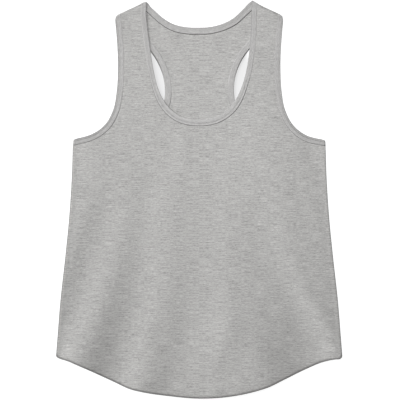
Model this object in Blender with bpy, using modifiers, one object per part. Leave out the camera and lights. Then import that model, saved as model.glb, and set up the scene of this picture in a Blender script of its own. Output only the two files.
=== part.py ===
"""Scoop-neck racerback tank top, laid flat on its back with the front uppermost.

Five sewn pieces: a front panel, a racerback panel, one neck binding and two armhole
bindings. Sizes are millimetres. Plan positions are given the way a garment is measured:
a half width from the centre line, and a drop down from the high point of the shoulder.
"""
import math

import bpy
import numpy as np
from mathutils.geometry import delaunay_2d_cdt

MM = 0.001

# cloth and seams
WALL = 1.0                  # thickness of every cloth wall
SEAM_GAP = 0.3              # air between two pieces that are sewn together
NECK_BAND = 10.0            # width of the neck binding, outside and inside
ARM_BAND = 8.5              # width of the armhole bindings on the outside
ARM_BAND_INSIDE = 10.5      # and of the leg that is turned to the inside
# rounding of a binding's folded edge: distance in from the edge, distance off its outer face
EDGE_ROUND = [(1.1, 0.0), (0.25, 0.45), (0.0, 1.25)]

# heights that follow from them
LEG = WALL / 2 + SEAM_GAP   # a binding's leg starts this far from the panel's middle
STACK = 2 * (LEG + WALL)    # leg, panel and leg together
BACK_LOW = WALL / 2         # middle of the back panel where it lies on the ground
BACK_HIGH = STACK / 2       # and where a binding lies under it
SHOULDER_SPACE = 0.8        # air inside the fold over the shoulder
SHOULDER_EASE = 0.35        # each panel stops this short of the middle of that fold
SPACE_FLAT = 14.0           # the fold keeps its full space this close to the shoulder line
SPACE_FADE = 60.0           # and closes this much farther down the strap
FOLD_RADIUS = (STACK + SHOULDER_SPACE) / 2
FOLD_CENTRE = STACK + SHOULDER_SPACE / 2

# mesh sizes
BAND_STEP = 12.5            # between the stations along a bound edge
OUTLINE_STEP = 14.0         # between points along the side seams and the hem
UNDERARM_STEP = 4.0         # from the underarm down to the side seam's first point
FRONT_CELL = 13.5           # triangles inside the front panel
BACK_CELL = 20.0            # triangles inside the flat back panel
FOLD_STEPS = 3              # stations on each quarter turn over the shoulder
INSET = 6.0                 # a row of panel points this far in from each binding
GRID_CLEAR = 0.55           # grid points keep this part of a cell from the rows
SLIVER = 0.02               # triangles with less area than this are left out at straight edges

# shoulder fold, from its neck end to its armhole end: half width, drop
SHOULDER_NECK = (90.5, 4.6)
SHOULDER_ARM = (145.2, 30.0)

# front neckline, shoulder to centre: half width, drop
FRONT_NECK = [(91.6, 22.0), (89.8, 54.7), (86.3, 80.0), (82.0, 103.0), (77.4, 127.0), (71.6, 148.5),
              (63.4, 167.0), (51.5, 184.5), (33.0, 198.3), (0.0, 204.5)]
# back neckline, shoulder to centre: half width, drop
BACK_NECK = [(83.0, 11.0), (75.6, 17.4), (60.6, 29.7), (41.5, 40.3), (20.0, 45.8), (0.0, 46.9)]
BACK_NECK_SHIFT = -3.0      # the back's neckline lies a little to one side
SHIFT_REACH = 2.2           # the shift is full beyond 1 / this of the way in from the shoulder

# front armhole, shoulder to underarm: half width, drop
FRONT_ARM = [(144.0, 49.5), (141.4, 84.0), (140.3, 119.5), (142.2, 156.0), (148.6, 188.5), (162.0, 213.5),
             (184.9, 229.9), (218.4, 240.0)]
# back armhole, cut in to the racer shape, shoulder to underarm: half width, drop
BACK_ARM = [(126.0, 47.5), (106.0, 65.5), (87.5, 84.1), (73.4, 105.6), (64.6, 127.0), (60.5, 151.0),
            (62.6, 174.0), (72.0, 196.0), (92.0, 215.0), (128.0, 230.0), (175.0, 237.0), (218.4, 240.0)]

# side seam, underarm to hem: half width, drop
SIDE = [(218.4, 240.0), (220.6, 309.0), (225.2, 378.0), (232.1, 447.0), (239.8, 516.0), (245.4, 585.0),
        (247.6, 610.0)]
# shirt-tail hem, corner to centre: half width, drop on the left, drop on the right
HEM = [(244.6, 616.4, 616.4), (215.8, 627.5, 622.6), (181.2, 643.0, 636.6), (146.7, 658.2, 654.2),
       (103.6, 674.2, 672.6), (51.8, 682.7, 683.2), (0.0, 686.0, 686.0)]

# soft folds of the front that grow toward the hem:
# name, x and drop at the top, x at the hem, half breadth at top and hem, height at the hem
FOLDS = [
    ("left_corner", -112.0, 330.0, -212.0, 20.0, 30.0, 6.0),
    ("left_middle", -18.0, 300.0, -82.0, 24.0, 28.0, 4.2),
    ("right_middle", 66.0, 290.0, 92.0, 34.0, 52.0, 6.0),
    ("right_corner", 128.0, 290.0, 236.0, 20.0, 26.0, 5.0),
]
FOLD_FOOT = 690.0           # drop at which the folds reach their hem position
FOLD_GROWTH = 0.8           # below 1 the folds rise sooner on their way down
SIDE_CALM = 22.0            # the folds die away this close to a side seam

# ease of the layers over the thick bindings
RAISE_FLAT = 28.0           # full height this close to a bound edge
RAISE_FADE = 34.0           # and none this much farther in

JERSEY = (0.445, 0.440, 0.430, 1.0)
BAND_JERSEY = (0.420, 0.415, 0.407, 1.0)


def clear_scene():
    for old in list(bpy.data.objects):
        bpy.data.objects.remove(old, do_unlink=True)


def cloth_material(name, colour):
    material = bpy.data.materials.new(name)
    material.use_nodes = True
    shader = material.node_tree.nodes["Principled BSDF"]
    shader.inputs["Base Color"].default_value = colour
    shader.inputs["Roughness"].default_value = 0.92
    shader.inputs["Metallic"].default_value = 0.0
    material.diffuse_color = colour
    return material


# ---- plan curves -------------------------------------------------------------------

def smooth_curve(points, per_span=24):
    """Dense points of a cubic through the given ones, with chord-length tangents."""
    p = np.array(points, dtype=float)
    t = np.concatenate([[0.0], np.cumsum(np.linalg.norm(np.diff(p, axis=0), axis=1))])
    slope = np.diff(p, axis=0) / np.diff(t)[:, None]
    weight = np.diff(t)
    tangent = np.empty_like(p)
    tangent[0], tangent[-1] = slope[0], slope[-1]
    blend = (weight[:-1] / (weight[:-1] + weight[1:]))[:, None]
    tangent[1:-1] = slope[:-1] * (1 - blend) + slope[1:] * blend
    out = []
    for i in range(len(p) - 1):
        u = np.linspace(0, 1, per_span, endpoint=False)[:, None]
        h = weight[i]
        out.append((2 * u**3 - 3 * u**2 + 1) * p[i] + (u**3 - 2 * u**2 + u) * h * tangent[i]
                   + (3 * u**2 - 2 * u**3) * p[i + 1] + (u**3 - u**2) * h * tangent[i + 1])
    out.append(p[-1:])
    return np.vstack(out)


def even_points(curve, step):
    """The curve's points respaced evenly, close to the given step."""
    reach = np.concatenate([[0.0], np.cumsum(np.linalg.norm(np.diff(curve, axis=0), axis=1))])
    count = max(2, int(round(reach[-1] / step)) + 1)
    at = np.linspace(0, reach[-1], count)
    return np.column_stack([np.interp(at, reach, curve[:, k]) for k in (0, 1)])


def plan(points, side=1):
    """(half width, drop) pairs as plan points on one side: +1 right, -1 left."""
    return np.array([(side * half, -drop) for half, drop in points])


def distance_to(points, lines):
    """Shortest distance from each point to a set of polylines."""
    best = np.full(len(points), 1e9)
    for line in lines:
        start, run = line[:-1], np.diff(line, axis=0)
        length2 = (run**2).sum(axis=1)
        offset = points[:, None, :] - start[None]
        along = np.clip((offset * run[None]).sum(axis=2) / length2, 0, 1)
        gap = offset - along[..., None] * run[None]
        best = np.minimum(best, np.sqrt((gap**2).sum(axis=2).min(axis=1)))
    return best


def inside(points, outline):
    """True where a point lies inside the closed outline."""
    x, y = points[:, 0][:, None], points[:, 1][:, None]
    a, b = outline, np.roll(outline, -1, axis=0)
    crosses = (a[:, 1] > y) != (b[:, 1] > y)
    rise = np.where(b[:, 1] == a[:, 1], 1e-9, b[:, 1] - a[:, 1])
    return (crosses & (x < (b[:, 0] - a[:, 0]) * (y - a[:, 1]) / rise + a[:, 0])).sum(axis=1) % 2 == 1


# ---- the shoulder fold -------------------------------------------------------------

def shoulder(side):
    """Neck end, armhole end, direction from neck to arm and outward direction of one fold."""
    neck, arm = plan([SHOULDER_NECK, SHOULDER_ARM], side)
    along = (arm - neck) / np.linalg.norm(arm - neck)
    outward = np.array([-along[1], along[0]]) * side
    return neck, arm, along, outward


QUARTER = FOLD_RADIUS * math.pi / 2                         # cloth in a quarter turn
TURN = [QUARTER * i / FOLD_STEPS for i in range(1, FOLD_STEPS + 1)]


# ---- curves of the bound edges, in plan --------------------------------------------

def mirrored_neck(points, shift=0.0):
    """A neckline from the left shoulder through the centre to the right shoulder."""
    half = [SHOULDER_NECK] + points
    ease = [shift * min(1.0, SHIFT_REACH * (1 - h / SHOULDER_NECK[0])) for h, _ in half]
    left = [(-h + e, -d) for (h, d), e in zip(half, ease)]
    right = [(h + e, -d) for (h, d), e in zip(half, ease)]
    return smooth_curve(left + right[-2::-1])


def armhole(points, side):
    return smooth_curve(plan([SHOULDER_ARM] + points, side))


FRONT_NECK_LINE = mirrored_neck(FRONT_NECK)
BACK_NECK_LINE = mirrored_neck(BACK_NECK, BACK_NECK_SHIFT)
ARM_LINES = {("front", s): armhole(FRONT_ARM, s) for s in (-1, 1)}
ARM_LINES.update({("back", s): armhole(BACK_ARM, s) for s in (-1, 1)})
FRONT_EDGES = [FRONT_NECK_LINE, ARM_LINES["front", -1], ARM_LINES["front", 1]]
BACK_EDGES = [BACK_NECK_LINE, ARM_LINES["back", -1], ARM_LINES["back", 1]]
SIDE_LINES = [smooth_curve(plan(SIDE, s)) for s in (-1, 1)]


# ---- height of the layers ----------------------------------------------------------

def fade(distance, flat, width):
    """1 up to a distance, then smoothly down to 0."""
    t = np.clip((distance - flat) / width, 0, 1)
    return 1 - t * t * (3 - 2 * t)


def fold_height(points):
    """Soft ridges of the front: each a bell across its own leaning line, growing to the hem."""
    x, drop = points[:, 0], -points[:, 1]
    height = np.zeros(len(points))
    for _, x_top, start, x_hem, breadth_top, breadth_hem, top in FOLDS:
        run = np.clip((drop - start) / (FOLD_FOOT - start), 0, 1)
        grow = run * run * (3 - 2 * run)
        middle = x_top + (x_hem - x_top) * run
        breadth = breadth_top + (breadth_hem - breadth_top) * run
        height += top * grow**FOLD_GROWTH * np.exp(-((x - middle) / breadth) ** 2)
    calm = distance_to(points, SIDE_LINES) / SIDE_CALM
    return height * (1 - np.exp(-calm**2))


def back_height(points):
    """Middle of the back panel: on the ground, eased up where a binding lies under it."""
    near = fade(distance_to(points, BACK_EDGES), RAISE_FLAT, RAISE_FADE)
    return BACK_LOW + (BACK_HIGH - BACK_LOW) * near


def front_height(points):
    """Middle of the front panel: on the back panel, its bindings and the front's own."""
    under = fade(distance_to(points, BACK_EDGES), RAISE_FLAT, RAISE_FADE)
    own = fade(distance_to(points, FRONT_EDGES), RAISE_FLAT, RAISE_FADE)
    shoulders = [np.array(shoulder(s)[:2]) for s in (-1, 1)]
    open_fold = fade(distance_to(points, shoulders), SPACE_FLAT, SPACE_FADE)
    return (WALL + (STACK - WALL) * under + SEAM_GAP + WALL / 2 + (SEAM_GAP + WALL) * own
            + (SHOULDER_SPACE - SEAM_GAP) * open_fold + fold_height(points))


def place(points, layer, lift=0.0):
    """Plan points of one layer in space, moved out from the cloth's middle by lift.

    Past the shoulder fold the cloth turns over a half round, the front's quarter and
    the back's quarter meeting half way down.
    """
    points = np.asarray(points, dtype=float)
    up = 1.0 if layer == "front" else -1.0
    height = front_height(points) if layer == "front" else back_height(points)
    out = np.column_stack([points, height + up * lift])
    for side in (-1, 1):
        neck, _, _, outward = shoulder(side)
        past = (points - neck) @ outward
        turned = (past > 1e-6) & (points[:, 0] * side > 0)
        angle = past[turned] / FOLD_RADIUS
        radius = FOLD_RADIUS + lift
        moved = radius * np.sin(angle) - past[turned]
        out[turned, :2] = points[turned] + moved[:, None] * outward
        out[turned, 2] = FOLD_CENTRE + up * radius * np.cos(angle)
    return out


# ---- bound edges: stations shared by the panel and its binding ------------------------

def inward_of(line, pick):
    """Unit direction into the cloth at each point, on the side where pick is positive."""
    run = np.gradient(line, axis=0)
    run /= np.linalg.norm(run, axis=1)[:, None]
    return np.column_stack([-run[:, 1], run[:, 0]]) * pick


def neck_stations(line):
    """Edge points and inward directions, left shoulder's fold to the right's."""
    points = even_points(line, BAND_STEP)
    inward = inward_of(points, -1.0)
    folds = []
    for side in (-1, 1):
        neck, _, along, outward = shoulder(side)
        folds.append(([neck + outward * d for d in TURN], along))
    inward[0], inward[-1] = folds[0][1], folds[1][1]
    points = np.vstack([folds[0][0][::-1], points, folds[1][0]])
    inward = np.vstack([[folds[0][1]] * FOLD_STEPS, inward, [folds[1][1]] * FOLD_STEPS])
    return points, inward


def arm_stations(layer, side):
    """Edge points and inward directions, shoulder fold to underarm."""
    points = even_points(ARM_LINES[layer, side], BAND_STEP)
    inward = inward_of(points, -side)
    _, arm, along, outward = shoulder(side)
    inward[0] = -along
    seam = plan(SIDE[:2], side)
    inward[-1] = (seam[1] - seam[0]) / np.linalg.norm(seam[1] - seam[0])
    turned = [arm + outward * d for d in TURN]
    points = np.vstack([turned[::-1], points])
    inward = np.vstack([[-along] * FOLD_STEPS, inward])
    return points, inward


def binding_section(outside, inner):
    """Closed section of a folded strip: distance in from its edge, distance off the panel."""
    top = LEG + WALL
    upper = [(e, top - drop) for e, drop in EDGE_ROUND]
    lower = [(e, drop - top) for e, drop in EDGE_ROUND[::-1]]
    return ([(outside, LEG), (outside, top)] + upper + lower
            + [(inner, -top), (inner, -LEG), (WALL, -LEG), (WALL, LEG)])


def ring_surface(rings, closed, turned):
    """Vertices and faces of a tube through rings of points, capped where it isn't closed."""
    count, around = len(rings), len(rings[0])
    faces = []
    for i in range(count if closed else count - 1):
        j = (i + 1) % count
        for k in range(around):
            m = (k + 1) % around
            faces.append((i * around + k, i * around + m, j * around + m, j * around + k))
    if not closed:
        faces.append(tuple(range(around))[::-1])
        faces.append(tuple((count - 1) * around + k for k in range(around)))
    return np.vstack(rings), [f[::-1] for f in faces] if turned else faces


def strip_rings(stations, layer, section):
    """Rings of a binding at its stations; the section is the same on front and back."""
    points, inward = stations
    rings = [place(points + inward * e, layer, n) for e, n in section]
    return list(np.stack(rings, axis=1))


def make_object(name, vertices, faces, material, collection):
    mesh = bpy.data.meshes.new(name)
    mesh.from_pydata([tuple(v) for v in np.asarray(vertices) * MM], [], faces)
    mesh.update()
    mesh.materials.append(material)
    obj = bpy.data.objects.new(name, mesh)
    collection.objects.link(obj)
    return obj


def make_neck_binding(material, collection):
    section = binding_section(NECK_BAND, NECK_BAND)
    front = strip_rings(neck_stations(FRONT_NECK_LINE), "front", section)
    back = strip_rings(neck_stations(BACK_NECK_LINE), "back", section)
    rings = front + back[::-1][1:-1]
    vertices, faces = ring_surface(rings, closed=True, turned=True)
    return make_object("neck_binding", vertices, faces, material, collection)


def make_arm_binding(side, material, collection):
    section = binding_section(ARM_BAND, ARM_BAND_INSIDE)
    front = strip_rings(arm_stations("front", side), "front", section)
    back = strip_rings(arm_stations("back", side), "back", section)
    rings = front[::-1] + back[1:]
    vertices, faces = ring_surface(rings, closed=False, turned=side < 0)
    name = "armhole_binding_left" if side < 0 else "armhole_binding_right"
    return make_object(name, vertices, faces, material, collection)


# ---- panels --------------------------------------------------------------------------

def hem_line():
    """The hem from its left corner to its right corner."""
    left = [(-half, -drop) for half, drop, _ in HEM]
    right = [(half, -drop) for half, _, drop in HEM]
    return even_points(smooth_curve(left + right[-2::-1]), OUTLINE_STEP)


def panel_edges(neck, arms):
    """A panel's stations by edge, each stopping short of the middle of the shoulder fold."""
    edges = {}
    for key, (points, inward) in (("neck", neck), (-1, arms[-1]), (1, arms[1])):
        points = points.copy()
        for end in (0, -1) if key == "neck" else (0,):
            outward = shoulder(math.copysign(1, points[end, 0]))[3]
            points[end] = points[end] - outward * SHOULDER_EASE
        edges[key] = (points, inward)
    return edges


def strap_rows(edges, side, raw, cell):
    """Rows of points across one strap, neck to armhole, where it turns over the shoulder."""
    neck_points, neck_in = edges["neck"]
    arm_points, arm_in = edges[side]
    end, step = (-1, -1) if side > 0 else (0, 1)
    rows = []
    for k in range(FOLD_STEPS + 1):
        at_neck, at_arm = neck_points[end + step * k], arm_points[k]
        near = [at_neck + neck_in[end] * e for e in (raw, NECK_BAND)]
        far = [at_arm + arm_in[0] * e for e in (ARM_BAND, raw)]
        a = at_neck + neck_in[end] * (NECK_BAND + INSET)
        b = at_arm + arm_in[0] * (ARM_BAND + INSET)
        count = max(2, int(round(np.linalg.norm(b - a) / cell)) + 1)
        rows.append(np.vstack([near, a + (b - a) * np.linspace(0, 1, count)[:, None], far]))
    return rows


def panel_outline(edges, straps, raw):
    """Closed outline of a panel: its raw edges inside the bindings, side seams and hem."""
    loops = {key: points + inward * raw for key, (points, inward) in edges.items()}
    sides = {}
    for s in (-1, 1):
        line = smooth_curve(plan(SIDE, s))
        line = line[line[:, 1] < loops[s][-1, 1] - UNDERARM_STEP]
        sides[s] = even_points(line, OUTLINE_STEP)
    return np.vstack([loops["neck"], straps[1][0][1:-1], loops[1], sides[1], hem_line()[::-1],
                      sides[-1][::-1], loops[-1][::-1], straps[-1][0][1:-1][::-1]])


def triangulate(outline, loops, cell):
    """Triangles that fill an outline, kept to the loops, with a grid of points inside."""
    points = list(outline)
    constraint = []
    for loop in loops:
        start = len(points)
        points.extend(loop)
        constraint += [(start + i, start + i + 1) for i in range(len(loop) - 1)]
    low, high = outline.min(axis=0), outline.max(axis=0)
    xs = np.arange(low[0] + cell / 2, high[0], cell)
    ys = np.arange(low[1] + cell / 2, high[1], cell)
    grid = np.array([(x, y) for y in ys for x in xs])
    rim = np.vstack([outline, outline[:1]])
    clear = distance_to(grid, [rim] + loops) > GRID_CLEAR * cell
    grid = grid[inside(grid, outline) & clear]
    points.extend(grid)
    constraint += [(i, (i + 1) % len(outline)) for i in range(len(outline))]
    result = delaunay_2d_cdt([tuple(map(float, p)) for p in points], constraint, [], 0, 1e-4, True)
    plan_points = np.array([tuple(v) for v in result[0]])
    faces = np.array([tuple(f) for f in result[2]])
    a, b, c = (plan_points[faces[:, k]] for k in range(3))
    area = 0.5 * np.abs((b - a)[:, 0] * (c - a)[:, 1] - (b - a)[:, 1] * (c - a)[:, 0])
    kept = inside((a + b + c) / 3, outline) & (area > SLIVER)
    return plan_points, [tuple(f) for f in faces[kept]]


def make_panel(name, layer, neck_line, cell, material, collection):
    edges = panel_edges(neck_stations(neck_line), {s: arm_stations(layer, s) for s in (-1, 1)})
    raw = WALL + SEAM_GAP                                   # raw edge inside the binding's fold
    straps = {s: strap_rows(edges, s, raw, cell) for s in (-1, 1)}
    outline = panel_outline(edges, straps, raw)
    points, inward = edges["neck"]
    loops = [points + inward * NECK_BAND, points + inward * (NECK_BAND + INSET)]
    for s in (-1, 1):
        points, inward = edges[s]
        loops.append((points + inward * ARM_BAND)[:-1])
        loops.append((points + inward * (ARM_BAND + INSET))[:-2])
        loops += straps[s][1:]
    plan_points, faces = triangulate(outline, loops, cell)
    middle = place(plan_points, layer)
    if layer == "back":
        faces = [f[::-1] for f in faces]
    panel = make_object(name, middle, faces, material, collection)
    wall = panel.modifiers.new("wall", "SOLIDIFY")
    wall.thickness = WALL * MM
    wall.offset = 0.0
    wall.use_rim = True
    return panel


def centre_on_origin(objects):
    """Move the meshes so that the whole lies centred over the origin, on the ground."""
    bpy.context.view_layer.update()
    corners = []
    graph = bpy.context.evaluated_depsgraph_get()
    for obj in objects:
        mesh = obj.evaluated_get(graph).to_mesh()
        points = np.empty(len(mesh.vertices) * 3)
        mesh.vertices.foreach_get("co", points)
        corners.append(points.reshape(-1, 3))
    every = np.vstack(corners)
    low, high = every.min(axis=0), every.max(axis=0)
    shift = np.array([(low[0] + high[0]) / 2, (low[1] + high[1]) / 2, low[2]])
    for obj in objects:
        for vertex in obj.data.vertices:
            vertex.co = [c - s for c, s in zip(vertex.co, shift)]
        obj.data.update()


def main():
    clear_scene()
    collection = bpy.data.collections.new("tank_top")
    bpy.context.scene.collection.children.link(collection)
    jersey = cloth_material("jersey", JERSEY)
    band = cloth_material("binding_jersey", BAND_JERSEY)
    pieces = [
        make_panel("front_panel", "front", FRONT_NECK_LINE, FRONT_CELL, jersey, collection),
        make_panel("back_panel", "back", BACK_NECK_LINE, BACK_CELL, jersey, collection),
        make_neck_binding(band, collection),
        make_arm_binding(-1, band, collection),
        make_arm_binding(1, band, collection),
    ]
    centre_on_origin(pieces)


main()
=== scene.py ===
import math

import bpy
import numpy as np
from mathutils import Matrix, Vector


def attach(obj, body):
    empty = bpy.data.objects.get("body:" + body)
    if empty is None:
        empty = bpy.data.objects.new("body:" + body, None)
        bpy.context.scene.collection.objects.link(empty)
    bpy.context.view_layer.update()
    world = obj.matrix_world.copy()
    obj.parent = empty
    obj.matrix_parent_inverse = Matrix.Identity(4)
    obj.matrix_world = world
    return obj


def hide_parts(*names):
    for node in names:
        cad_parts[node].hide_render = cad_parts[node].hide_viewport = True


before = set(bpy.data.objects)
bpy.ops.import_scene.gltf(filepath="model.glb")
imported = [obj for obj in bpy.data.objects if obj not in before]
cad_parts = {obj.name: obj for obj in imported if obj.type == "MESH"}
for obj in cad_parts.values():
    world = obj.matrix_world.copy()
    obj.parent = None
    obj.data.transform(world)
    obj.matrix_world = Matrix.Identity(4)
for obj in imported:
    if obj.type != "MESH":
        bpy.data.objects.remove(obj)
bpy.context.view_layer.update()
print("frame loaded")

# All cutting is done in millimetres on the plan: x from the centre line, y = minus the
# drop below the high shoulder point. The mesh builder turns it into metres.
mm = 0.001
lengthShift = 343.72     # brings the middle of the length over the origin

shoulderCut = {"neck": (91.4, 2.1), "arm": (146.1, 27.4)}     # half width, drop

cuts = {
    # the necks from left to right, between the two shoulders: x, drop
    "frontNeck": [(-91.6, 22), (-88.5, 54.7), (-84.9, 80), (-81.7, 103), (-77.4, 127),
                  (-71.9, 148.5), (-64.1, 167.2), (-51.5, 185), (-33, 199), (0, 205.3),
                  (33, 199), (52.4, 185), (65.3, 167.2), (73.6, 148.5), (80.1, 127),
                  (84.6, 103), (87.4, 80), (89.4, 54.7), (90.3, 22)],
    "backNeck": [(-83.6, 11), (-76.7, 17.4), (-62.8, 29.7), (-44.5, 40.3), (-23, 45.4), (-3, 46.3),
                 (17, 45.4), (38.5, 40.3), (58.4, 30.4), (73.6, 16.8), (81.4, 10.2)],
    # half width, drop
    "frontArm": [(144, 49.5), (141.4, 84), (140.7, 119.5), (142.7, 156), (148.8, 188.5),
                 (162, 213.1), (173.5, 223.6), (184.9, 230.2), (218.4, 240)],
    # half width on the left, half width on the right, drop
    "backArm": [(126, 126, 47.5), (106, 106, 65.5), (87.4, 87.4, 84.1), (72.8, 72.5, 105.6),
                (63.8, 63.9, 127), (59.6, 60.2, 151), (61, 62.4, 174), (71.2, 71.8, 196),
                (92, 92, 215), (128, 128, 230), (175, 175, 237), (218.4, 218.4, 240)],
    # half width, drop
    "side": [(218.4, 240), (220.6, 309), (225.2, 378), (232.1, 447), (239.8, 516),
             (245.4, 585), (247.6, 612.5)],
    # half width, drop on the left, drop on the right
    "hem": [(247.6, 613.2, 613.6), (246.4, 616.3, 617.8), (243, 618.4, 619.8), (236, 620.8, 620.3),
            (228, 623.2, 621.5), (215.8, 628.5, 624.4), (181.2, 643.6, 638.6), (146.7, 659.4, 655.7),
            (118, 672.4, 669.6), (103.6, 676, 674.2), (51.8, 683.8, 685.1), (0, 688.1, 688.1)],
    "underarm": 240,
    "rightDeeper": (2.2, 190, 34),      # how far, at which half width, breadth
    "step": 2.5, "hemStep": 3,            # spacing of the points on the lines
    "coarse": 7, "sideCoarse": 20, "hemCoarse": 12,       # and where only distances are taken
}

layers = {
    "wall": 0.55,           # thickness of the jersey
    "backLow": 0.50,        # middle of the back panel on the floor
    "backHigh": 0.65,       # and where a binding lies under it
    "frontLow": 1.11,       # middle of the front panel where it lies on the back
    "underBinding": 0.27,   # extra height of the front over the back's bindings
    "ownBinding": 0.15,     # and over its own inside leg
    "shoulderOpen": 0.68,
    "hemRaise": 1.20,       # two turned-up hems between the panels
    "sideRaise": 0.20,      # seam allowance inside the side seams
    # how far from its line each of these is full, and over how far it fades
    "under": (16.0, 44.0), "own": (11.0, 30.0), "back": (12.0, 24.0), "hem": (9.5, 28.0), "open": (6.0, 40.0),
    "rollRadius": 0.78, "rollCentre": 1.43,
    "strapSag": 0.35, "sagWidth": 14.0,     # the free outer edge of each strap settles a little
    "sagFrom": (55.0, 40.0), "sagUpTo": (180.0, 30.0),      # drop, and over how far it sets in or ends
}

# soft folds of the front: x and drop at the top, x at the hem, half breadths on the left
# (top, hem) and on the right (top, hem), height at the hem, growth, bend of the path
frontFolds = {
    "leftCorner": (-108.5, 196, -231.3, 10, 47.7, 10.5, 46.2, 8.2, 1.59, 1.8),
    "leftMiddle": (43.3, 199, -105.6, 34.5, 33.5, 18.1, 59.3, 5.4, 1.52, 0.81),
    "rightMiddle": (117.4, 383, 89.6, 41.4, 85, 24.2, 76.5, 9.2, 1.66, 1.07),
    "rightCorner": (94.6, 79, 262, 60, 20.8, 60, 84.8, 3.9, 0.3, 1.42),
    "centre": (69.5, 239, -18.1, 60, 47.8, 31.5, 85, 3.5, 0.3, 2.5),
    "rightHollow": (158.4, 322, 234.4, 29.7, 70.8, 34.9, 12, -2.2, 0.3, 0.5),
    "leftEdge": (-160.3, 290, -240, 16.8, 38.5, 10.4, 49.9, 1.2, 0.3, 0.78),
}

# soft swells and hollows between them: x, drop, half breadth across and down, height, slant
frontSwells = {
    "rightUnderarm": (207.6, 275, 20.2, 39, -1.08, 0.56),
    "leftUnderarm": (-152.9, 294, 54.2, 39.5, 2.09, 0.81),
    "leftSide": (-222.9, 411, 27.8, 92, 2.2, -0.34),
    "belowMiddle": (42.9, 583, 26.9, 51.1, 2.2, -0.15),
    "leftHem": (-88.8, 651, 35.7, 29.4, 2.08, -0.27),
    "rightHem": (128.1, 663, 35.9, 82.8, 2.2, 0.5),
    "rightSide": (225.4, 564, 21.2, 92.7, 2.2, 0.64),
    "leftOfMiddle": (-52.7, 359, 29.8, 100.7, 1.63, -0.23),
}

# both panels rise together along the side seams: drop, half length, half width, height
edgeLifts = {
    -1: (488, 140, 19.9, 3.6),
    1: (602, 82, 20.8, 3.6),
}
foldRules = {
    "foot": 690.0,          # drop at which each fold is fully grown
    "sideCalm": 16.0,       # the folds die away toward the side seams over about this far
    "backShare": 0.52,      # the back follows the front's folds by this share
    "softFloor": 0.2,       # how gently hollows are stopped above the layer below
}


def smoothCurve(points, perSpan=24):
    # cubic through the points; each tangent is the length-weighted mean of the spans beside it
    p = np.array(points, dtype=float)
    span = np.linalg.norm(np.diff(p, axis=0), axis=1)
    slope = np.diff(p, axis=0) / span[:, None]
    share = (span[:-1] / (span[:-1] + span[1:]))[:, None]
    tangent = np.vstack([slope[:1], slope[:-1] * (1 - share) + slope[1:] * share, slope[-1:]])
    k = np.repeat(np.arange(len(span)), perSpan)
    u = np.tile(np.linspace(0, 1, perSpan, endpoint=False), len(span))[:, None]
    h = span[k][:, None]
    body = ((2 * u**3 - 3 * u**2 + 1) * p[k] + (u**3 - 2 * u**2 + u) * h * tangent[k]
            + (3 * u**2 - 2 * u**3) * p[k + 1] + (u**3 - u**2) * h * tangent[k + 1])
    return np.vstack([body, p[-1:]])


def lengthAlong(points):
    # running sum of the distances between neighbouring points
    return np.concatenate([[0.0], np.cumsum(np.linalg.norm(np.diff(points, axis=0), axis=1))])


def sample(at, reach, values):
    # rows of values, given along one reach, at other places of it
    return np.column_stack([np.interp(at, reach, column) for column in values.T])


def unit(rows):
    # each row divided by its length
    return rows / np.linalg.norm(rows, axis=1)[:, None]


def evenPoints(curve, step):
    # the same curve with its points spaced evenly by about one step
    reach = lengthAlong(curve)
    at = np.linspace(0, reach[-1], max(2, int(round(reach[-1] / step)) + 1))
    return sample(at, reach, curve)


def leftOf(run):
    # unit vectors a quarter turn to the left of each step
    run = unit(run)
    return np.column_stack([-run[:, 1], run[:, 0]])


def plan(points, side=1):
    # half widths and drops on one side, as places on the plan
    return np.array([(side * half, -drop) for half, drop in points])


def gapTo(points, line):
    # distance from each point to the nearest place on a polyline
    start, run = line[:-1], np.diff(line, axis=0)
    size2 = (run**2).sum(axis=1)
    gaps = []
    for part in np.array_split(points, max(1, len(points) // 3000)):      # keeps the tables small
        offset = part[:, None] - start
        share = np.clip((offset * run).sum(axis=2) / size2, 0, 1)
        gap2 = ((offset - share[..., None] * run)**2).sum(axis=2)
        gaps.append(np.sqrt(gap2.min(axis=1)))
    return np.concatenate(gaps)


def distanceTo(points, lines):
    # distance to the nearest of several polylines
    return np.min([gapTo(points, line) for line in lines], axis=0)


def insideOf(points, outline):
    # even-odd rule: count the outline's edges that a ray to the right crosses
    x, y = points[:, 0][:, None], points[:, 1][:, None]
    a, b = outline, np.roll(outline, -1, axis=0)
    crosses = (a[:, 1] > y) != (b[:, 1] > y)
    rise = np.where(b[:, 1] == a[:, 1], 1e-9, b[:, 1] - a[:, 1])
    return (crosses & (x < (b[:, 0] - a[:, 0]) * (y - a[:, 1]) / rise + a[:, 0])).sum(axis=1) % 2 == 1


def smoothStep(t):
    # nothing below 0, one above 1, three t squared less two t cubed between
    t = np.clip(t, 0, 1)
    return t * t * (3 - 2 * t)


def ramp(value, start, run):
    # a smooth step that sets in at the start and is complete after the run
    return smoothStep((value - start) / run)


def fade(distance, flat, width):
    # one as far as the flat, then smoothly down to nothing over the width
    return 1 - ramp(distance, flat, width)


def bell(*pairs):
    # e to minus the sum of (offset / breadth) squared
    return np.exp(-sum((offset / breadth)**2 for offset, breadth in pairs))


def toned(tone, share):
    # one where the share is nothing, the tone where it is whole
    return 1 + (tone - 1) * share


def sided(x, values):
    # of a pair, the first left of the centre line and the second right of it
    left, right = np.broadcast_to(values, 2)
    return np.where(x > 0, right, left)


def shoulderLine(side):
    # neck end, armhole end, direction from neck to arm, direction over the shoulder
    neck, arm = plan([shoulderCut["neck"], shoulderCut["arm"]], side)
    along = (arm - neck) / np.linalg.norm(arm - neck)
    return neck, arm, along, np.array([-along[1], along[0]]) * side


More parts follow.
